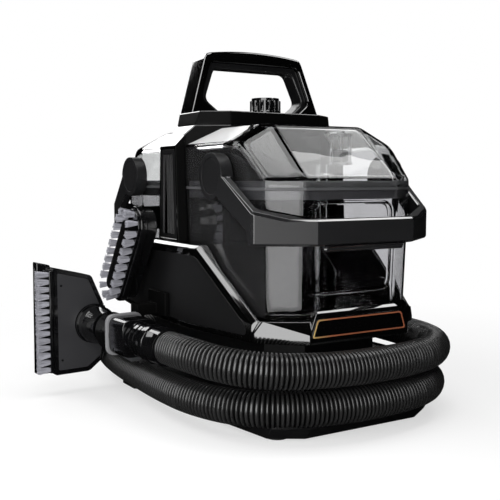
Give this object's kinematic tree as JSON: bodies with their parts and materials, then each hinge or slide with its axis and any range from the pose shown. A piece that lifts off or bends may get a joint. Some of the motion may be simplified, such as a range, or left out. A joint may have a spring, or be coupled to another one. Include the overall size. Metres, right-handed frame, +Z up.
{
  "type": "portable spot extractor",
  "caption": "Portable wet spot cleaner with clear lift-out tanks, folding bails, a carry handle, a ribbed hose round the base and clip-on brushes.",
  "frame": {"origin": "on the floor under the middle of the body: midway between the two side walls of the housing, and midway between the two tanks", "axes": "+Z up; +Y towards the rear tank, so the front with the badge faces -Y; the cleaning tools are on the -X side"},
  "size_m": [0.4118, 0.4764, 0.404],
  "materials": {
    "gloss_black": "high gloss moulded",
    "satin_black": "fine moulded grain",
    "bail_grey": "satin moulded",
    "hose_black": "ribbed, satin",
    "soft_rubber": "soft moulded",
    "smoked_clear": "clear, smoked",
    "clear": "clear",
    "copper_trim": "metallic copper paint",
    "screw_steel": "zinc plated",
    "grey_plastic": "moulded",
    "float_foam": "smooth",
    "metal_cast": "cast",
    "board_green": "board",
    "valve_brass": "turned",
    "pad_grey": "fine moulded grain",
    "bristle_grey": "nylon tufts"
  },
  "bodies": {
    "root": {"base_pan": "satin_black", "base_feet": "soft_rubber", "base_screws": "screw_steel", "hose_core": "satin_black", "suction_duct": "grey_plastic", "hose_port": "satin_black", "hose": "hose_black", "housing": "gloss_black", "left_side_panel": "satin_black", "right_side_panel": "satin_black", "badge_plate": "satin_black", "badge_trim": "copper_trim", "cord_gland": "satin_black", "column": "gloss_black", "left_grille": "satin_black", "right_grille": "satin_black", "top_deck": "gloss_black", "handle_frame": "gloss_black", "handle_grip": "soft_rubber", "dial_switch": "grey_plastic", "fan_scroll": "grey_plastic", "vacuum_motor": "metal_cast", "motor_cushion": "soft_rubber", "steam_boiler": "metal_cast", "water_pump": "grey_plastic", "circuit_board": "board_green", "hose_cuff": "satin_black", "swivel_ring": "satin_black", "grip_shell": "satin_black", "grip_pad": "pad_grey", "tool_bracket": "satin_black", "brush_bracket": "satin_black"},
    "front_tank": {"front_bin": "smoked_clear", "standpipe": "clear", "baffle": "clear"},
    "front_lid": {"front_lid": "clear", "front_gasket": "soft_rubber", "float_cage": "clear"},
    "front_bail": {"front_bail": "bail_grey", "front_bail_caps": "bail_grey"},
    "float": {"float_ball": "float_foam"},
    "rear_tank": {"rear_bin": "smoked_clear", "outlet_valve": "grey_plastic"},
    "valve_plunger": {"valve_plunger": "valve_brass"},
    "rear_lid": {"rear_lid": "smoked_clear", "rear_gasket": "soft_rubber"},
    "rear_bail": {"rear_bail": "bail_grey", "rear_bail_caps": "bail_grey"},
    "fill_cap": {"fill_cap": "satin_black"},
    "control_dial": {"control_dial": "satin_black"},
    "impeller": {"impeller": "metal_cast"},
    "trigger": {"trigger": "grey_plastic"},
    "wide_tool": {"tool_body": "gloss_black", "tool_cover": "grey_plastic", "tool_screws": "screw_steel", "tool_neck": "satin_black", "tool_bristles": "bristle_grey"},
    "oval_brush": {"brush_body": "satin_black", "brush_bristles": "bristle_grey"}
  },
  "joints": [
    {"name": "front_tank_lift", "type": "slide", "parent": "root", "child": "front_tank", "axis": [0, 0, 1], "range_m": [0, 0.24]},
    {"name": "front_lid_lift", "type": "slide", "parent": "front_tank", "child": "front_lid", "axis": [0, 0, 1], "range_m": [0, 0.1]},
    {"name": "front_bail_swing", "type": "hinge", "parent": "front_lid", "child": "front_bail", "pos_m": [0, -0.105, 0.257], "axis": [-1, 0, 0], "range_deg": [0, 118]},
    {"name": "float_rise", "type": "slide", "parent": "front_lid", "child": "float", "axis": [0, 0, 1], "range_m": [0, 0.014]},
    {"name": "rear_tank_lift", "type": "slide", "parent": "root", "child": "rear_tank", "axis": [0, 0, 1], "range_m": [0, 0.24]},
    {"name": "valve_push", "type": "slide", "parent": "rear_tank", "child": "valve_plunger", "axis": [0, 0, 1], "range_m": [0, 0.003], "stiffness_N_per_m": 200, "springref_m": -0.005},
    {"name": "rear_lid_lift", "type": "slide", "parent": "rear_tank", "child": "rear_lid", "axis": [0, 0, 1], "range_m": [0, 0.1]},
    {"name": "rear_bail_swing", "type": "hinge", "parent": "rear_lid", "child": "rear_bail", "pos_m": [0, 0.105, 0.257], "axis": [1, 0, 0], "range_deg": [0, 118]},
    {"name": "fill_cap_lift", "type": "slide", "parent": "rear_lid", "child": "fill_cap", "axis": [0, 0, 1], "range_m": [0, 0.03]},
    {"name": "dial_turn", "type": "hinge", "parent": "root", "child": "control_dial", "pos_m": [0, -0.0215, 0.33], "axis": [0, 0, 1], "range_deg": [0, 270]},
    {"name": "impeller_spin", "type": "hinge", "parent": "root", "child": "impeller", "pos_m": [0.034, 0, 0.2], "axis": [0, 0, 1], "continuous": true},
    {"name": "trigger_squeeze", "type": "hinge", "parent": "root", "child": "trigger", "pos_m": [-0.1683, -0.008, 0.068], "axis": [-0.9962, -0.0872, 0], "range_deg": [0, 10], "stiffness_Nm_per_rad": 0.1, "springref_deg": -17.19},
    {"name": "wide_tool_pull", "type": "slide", "parent": "root", "child": "wide_tool", "axis": [-0.0872, 0.9962, 0], "range_m": [0, 0.06]},
    {"name": "brush_slide", "type": "slide", "parent": "root", "child": "oval_brush", "axis": [0, -0.5879, 0.8089], "range_m": [0, 0.06]}
  ]
}
